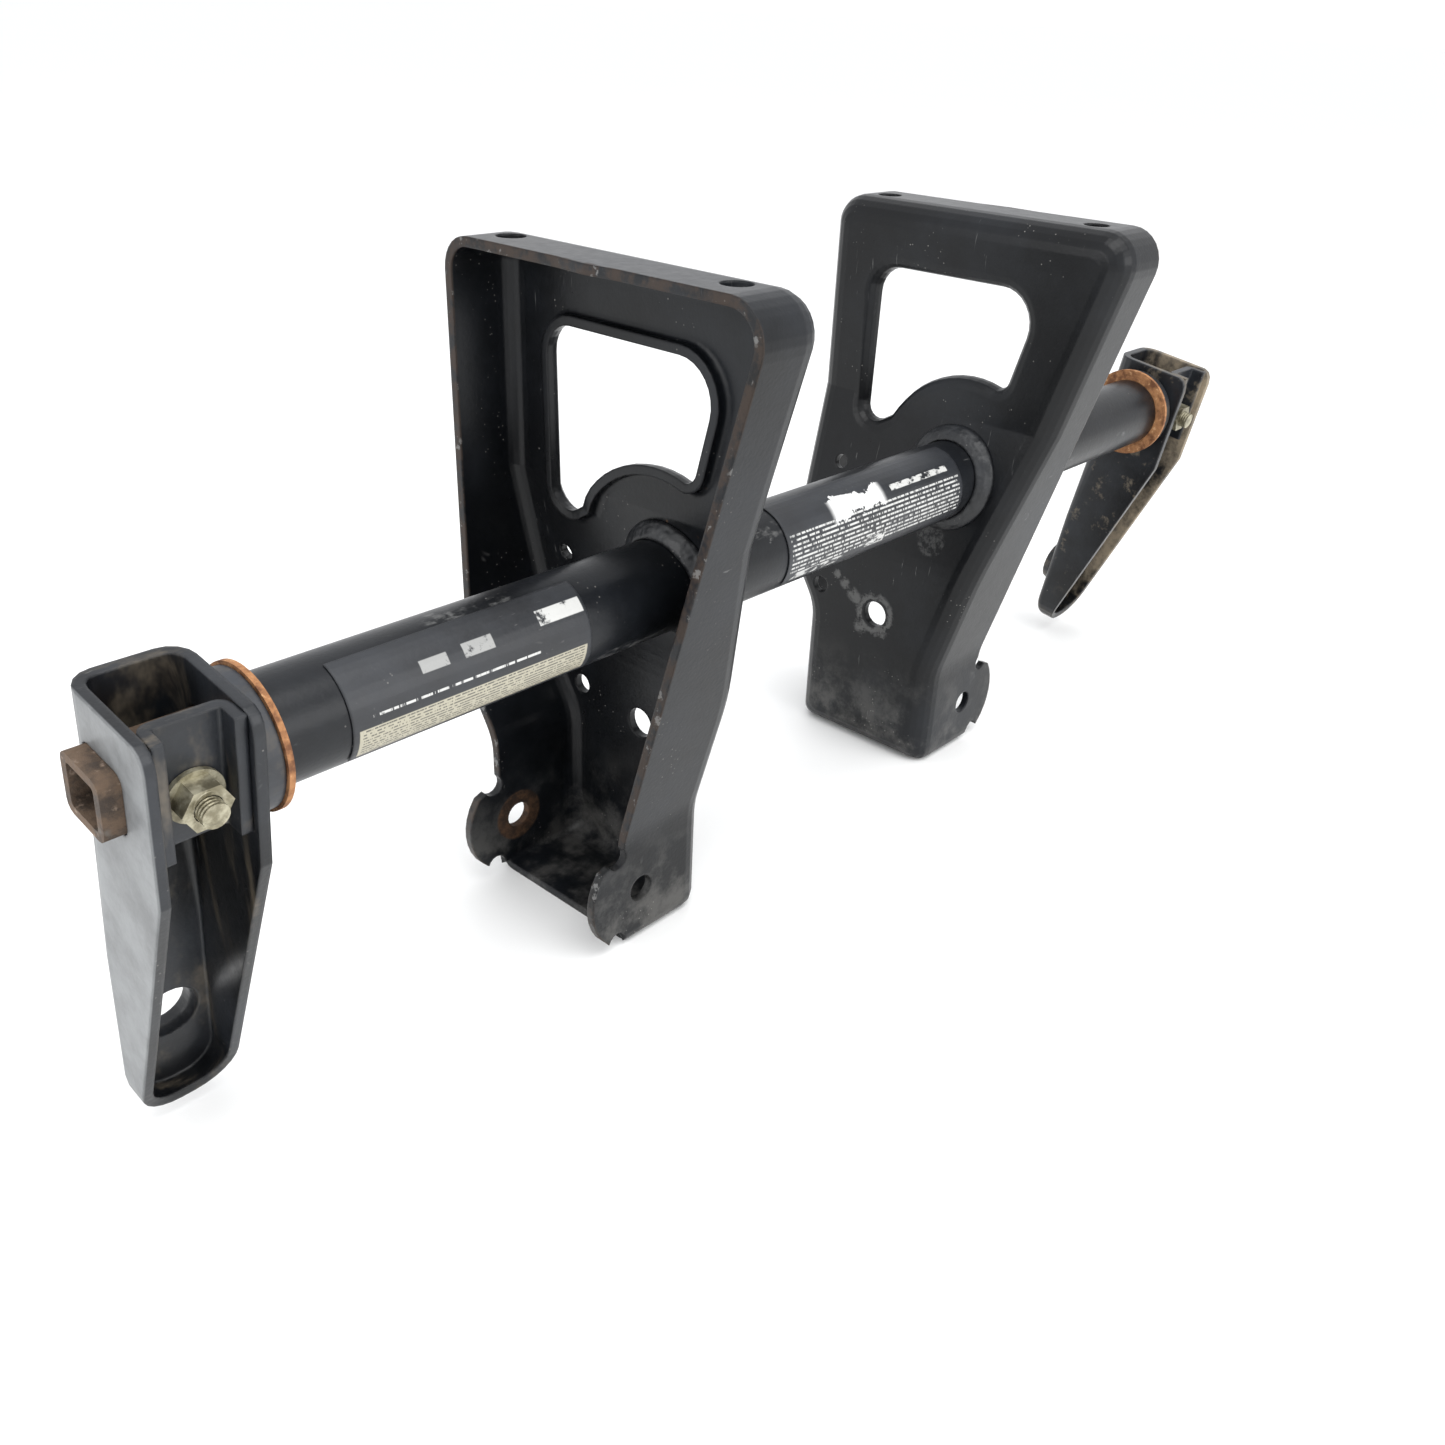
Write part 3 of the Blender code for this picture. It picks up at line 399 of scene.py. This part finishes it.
def outer_label_look():
    look = Look("label_outer")
    color, roughness, normal = film_base(look)
    angle = around_tube(look)
    ink = rubbed_ink(look, 0.36)
    panel = look.both(block(look, angle, (-0.241, -0.152), (93, 128)), rubbed_ink(look, 0.28))
    color = look.mix(look.math("MULTIPLY", panel, 0.85), color, CREAM)
    fine = print_rows(look, angle, (-0.240, -0.153), (94, 127, 9), 620.0, 3.0)
    color = look.mix(look.both(fine, 0.85), color, (0.05, 0.05, 0.045, 1))
    marks = block(look, angle, (-0.170, -0.151), (40, 58))
    for x_range, angles in (((-0.2005, -0.1885), (46, 62)), ((-0.2165, -0.2060), (48, 62))):
        marks = look.math("MAXIMUM", marks, look.both(block(look, angle, x_range, angles), 0.55))
    code = print_rows(look, angle, (-0.236, -0.172), (80, 86, 1), 330.0, 8.0)
    marks = look.math("MAXIMUM", marks, code)
    color = look.mix(look.both(marks, ink, 0.85), color, WHITE_INK)
    return look.finish(color, roughness, normal, specular=0.5)


def centre_label_look():
    look = Look("label_centre")
    color, roughness, normal = film_base(look)
    angle = around_tube(look)
    ink = rubbed_ink(look, 0.34)
    text = print_rows(look, angle, (-0.045, 0.072), (58, 112, 9), 560.0, 1.0)
    bars = block(look, angle, (0.024, 0.066), (40, 50))
    for x_range, angles in (((-0.043, -0.010), (112, 124)), ((0.004, 0.017), (98, 116))):
        bars = look.math("MAXIMUM", bars, block(look, angle, x_range, angles))
    bars = look.both(bars, look.ramp(look.noise(420.0, 3.0, 0.6, look.stretched((0.5, 1, 1))), 0.40, 0.52))
    color = look.mix(look.both(look.math("MAXIMUM", text, bars), ink, 0.85), color, WHITE_INK)
    ragged = look.math("ADD", angle, look.math("MULTIPLY", look.noise(95.0, 5.0, 0.7), 0.9))
    torn = look.both(block(look, ragged, (-0.018, 0.020), (58, 88), 0.004), rubbed_ink(look, 0.30))
    color = look.mix(look.math("MULTIPLY", torn, 0.95), color, (0.72, 0.72, 0.71, 1))
    return look.finish(color, roughness, normal, specular=0.5)


def dress(name, material):
    for slot in NODES[name].material_slots:
        slot.material = material


def dress_nodes():
    shared = {"torsion_bar": bar_look(), "pivot_tube": tube_look(), "outer_label": outer_label_look(),
              "centre_label": centre_label_look()}
    for name, material in shared.items():
        dress(name, material)
    ring, collar, weld, zinc = ring_look(), collar_look(), weld_look(), zinc_look()
    for label, side in (("left", -1), ("right", 1)):
        paint = arm_look(side)
        dress(label + "_bracket", bracket_look(side))
        dress(label + "_arm", paint)
        dress(label + "_saddle", paint)
        dress(label + "_washer", ring)
        dress(label + "_bushing", collar)
        for spot in ("_weld_inboard", "_weld_outboard"):
            dress(label + spot, weld)
        dress(label + "_clamp_bolt", zinc)
        dress(label + "_flange_nut", zinc)


# ---------------------------------------------------------------- stage, light and camera
def build_floor():
    bpy.ops.mesh.primitive_plane_add(size=FLOOR_SIZE, location=(0, 0, CAD_BOX[0][2]))
    floor = bpy.context.object
    floor.name = "floor"
    look = Look("floor_board")
    tone = look.mix(look.noise(3.0, 4.0), (0.93, 0.93, 0.92, 1), (0.95, 0.95, 0.94, 1))
    floor.data.materials.append(look.finish(tone, 0.55, look.bump(look.noise(220.0), 0.03)))


def add_area(name, location, target, size, power, color=(1, 1, 1)):
    data = bpy.data.lights.new(name, "AREA")
    data.shape = "RECTANGLE"
    data.size, data.size_y = size
    data.energy = power
    data.color = color
    lamp = bpy.data.objects.new(name, data)
    lamp.location = location
    lamp.rotation_euler = (Vector(target) - Vector(location)).to_track_quat("-Z", "Y").to_euler()
    bpy.context.scene.collection.objects.link(lamp)


def build_light():
    world = bpy.data.worlds.new("studio")
    world.use_nodes = True
    background = world.node_tree.nodes["Background"]
    background.inputs["Color"].default_value = (0.95, 0.96, 0.98, 1)
    background.inputs["Strength"].default_value = 0.93
    bpy.context.scene.world = world
    add_area("key", (-0.2, -0.6, 1.9), (0, 0, 0.1), (1.6, 1.2), 18)
    add_area("front", (0.3, -2.0, 0.9), (0, 0, 0.15), (1.8, 1.2), 16)
    add_area("left", (-2.0, 0.3, 0.8), (-0.2, 0, 0.15), (1.4, 1.2), 11)


def build_view():
    view = bpy.context.scene.view_settings
    view.view_transform = "Standard"
    view.look = "None"
    view.exposure = 0.25


def build_camera():
    data = bpy.data.cameras.new("camera")
    data.lens = CAMERA_LENS
    data.sensor_width = 36.0
    data.clip_start = 0.01
    camera = bpy.data.objects.new("camera", data)
    camera.location = CAMERA_POSITION
    camera.rotation_euler = [math.radians(a) for a in CAMERA_ANGLES]
    bpy.context.scene.collection.objects.link(camera)
    bpy.context.scene.camera = camera


dress_nodes()
build_floor()
build_light()
build_camera()
build_view()
